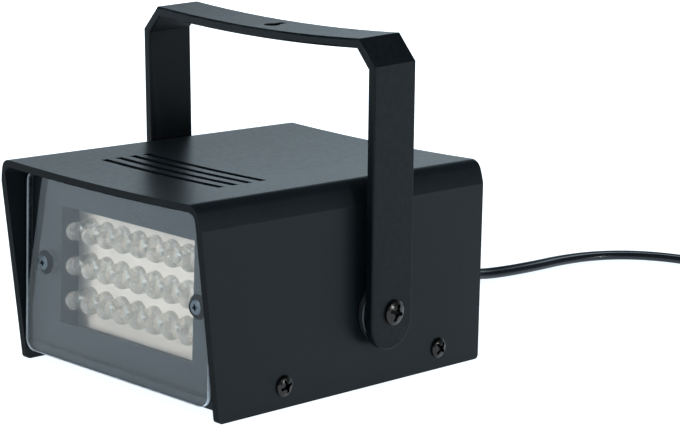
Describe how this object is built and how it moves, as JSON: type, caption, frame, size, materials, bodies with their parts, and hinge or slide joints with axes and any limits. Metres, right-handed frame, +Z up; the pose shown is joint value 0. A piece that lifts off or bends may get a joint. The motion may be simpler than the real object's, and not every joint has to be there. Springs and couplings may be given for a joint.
{
  "type": "LED stroboscope",
  "caption": "Small mains LED strobe light: black housing with visor, clear front plate over a LED board, tilting bow handle with hanging keyhole, rear speed knob and lead.",
  "frame": {"origin": "centre of the footprint of the strobe without its lead, on the surface that the cover's side walls stand on", "axes": "+Z up, the light leaves towards -Y, +X to the right of someone who looks at the front plate"},
  "size_m": [0.1152, 0.3385, 0.0918],
  "materials": {
    "cover_abs": "satin black moulded ABS",
    "chassis_abs": "satin black moulded ABS",
    "clear_acrylic": "clear polished acrylic",
    "dark_screw": "black oxide",
    "zinc_screw": "zinc plated",
    "zinc_nut": "zinc plated",
    "spacer_nylon": "black nylon",
    "bow_abs": "satin black moulded ABS",
    "white_board": "white solder mask",
    "led_epoxy": "clear epoxy",
    "lead_metal": "tinned",
    "tan_board": "phenolic board",
    "film_box": "red film capacitor box",
    "can_sleeve": "sleeved can",
    "black_epoxy": "moulded epoxy",
    "fuse_case": "moulded case",
    "resistor_coat": "coated",
    "pot_metal": "pressed can",
    "shaft_nylon": "moulded shaft",
    "knob_abs": "fluted black knob",
    "grip_pvc": "soft black PVC",
    "red_wire": "PVC wire",
    "white_wire": "PVC wire",
    "blue_wire": "PVC wire",
    "cord_pvc": "soft black PVC",
    "plug_pvc": "soft black PVC",
    "plug_metal": "nickel plated"
  },
  "bodies": {
    "housing": {"top_cover": "cover_abs", "base_chassis": "chassis_abs", "front_lens": "clear_acrylic", "lens_screws": "dark_screw", "cover_screws": "dark_screw", "board_screws": "zinc_screw", "driver_screws": "zinc_screw", "pivot_screws": "dark_screw", "pivot_washers": "spacer_nylon", "pivot_nuts": "zinc_nut", "led_board": "white_board", "led_lenses": "led_epoxy", "led_leads": "lead_metal", "driver_board": "tan_board", "film_capacitor": "film_box", "filter_capacitor": "can_sleeve", "bridge_rectifier": "black_epoxy", "timer_chip": "black_epoxy", "switching_transistor": "black_epoxy", "fuse": "fuse_case", "timing_capacitor": "can_sleeve", "resistors": "resistor_coat", "speed_pot": "pot_metal", "pot_washer": "zinc_nut", "pot_nut": "zinc_nut", "cord_grip": "grip_pvc", "led_wires": "red_wire", "pot_wires": "white_wire", "mains_wires": "blue_wire", "power_cord": "cord_pvc", "cord_coil": "cord_pvc", "cord_tail": "cord_pvc", "plug_body": "plug_pvc", "plug_pins": "plug_metal"},
    "bow": {"handle": "bow_abs"},
    "knob": {"speed_knob": "knob_abs", "pot_shaft": "shaft_nylon"}
  },
  "joints": [
    {"name": "bow_tilt", "type": "hinge", "parent": "housing", "child": "bow", "pos_m": [0, 0.0061, 0.0203], "axis": [1, 0, 0], "range_deg": [-83, 49]},
    {"name": "speed_turn", "type": "hinge", "parent": "housing", "child": "knob", "pos_m": [0.016, 0.0419, 0.027], "axis": [0, 1, 0], "range_deg": [-140, 140]}
  ]
}
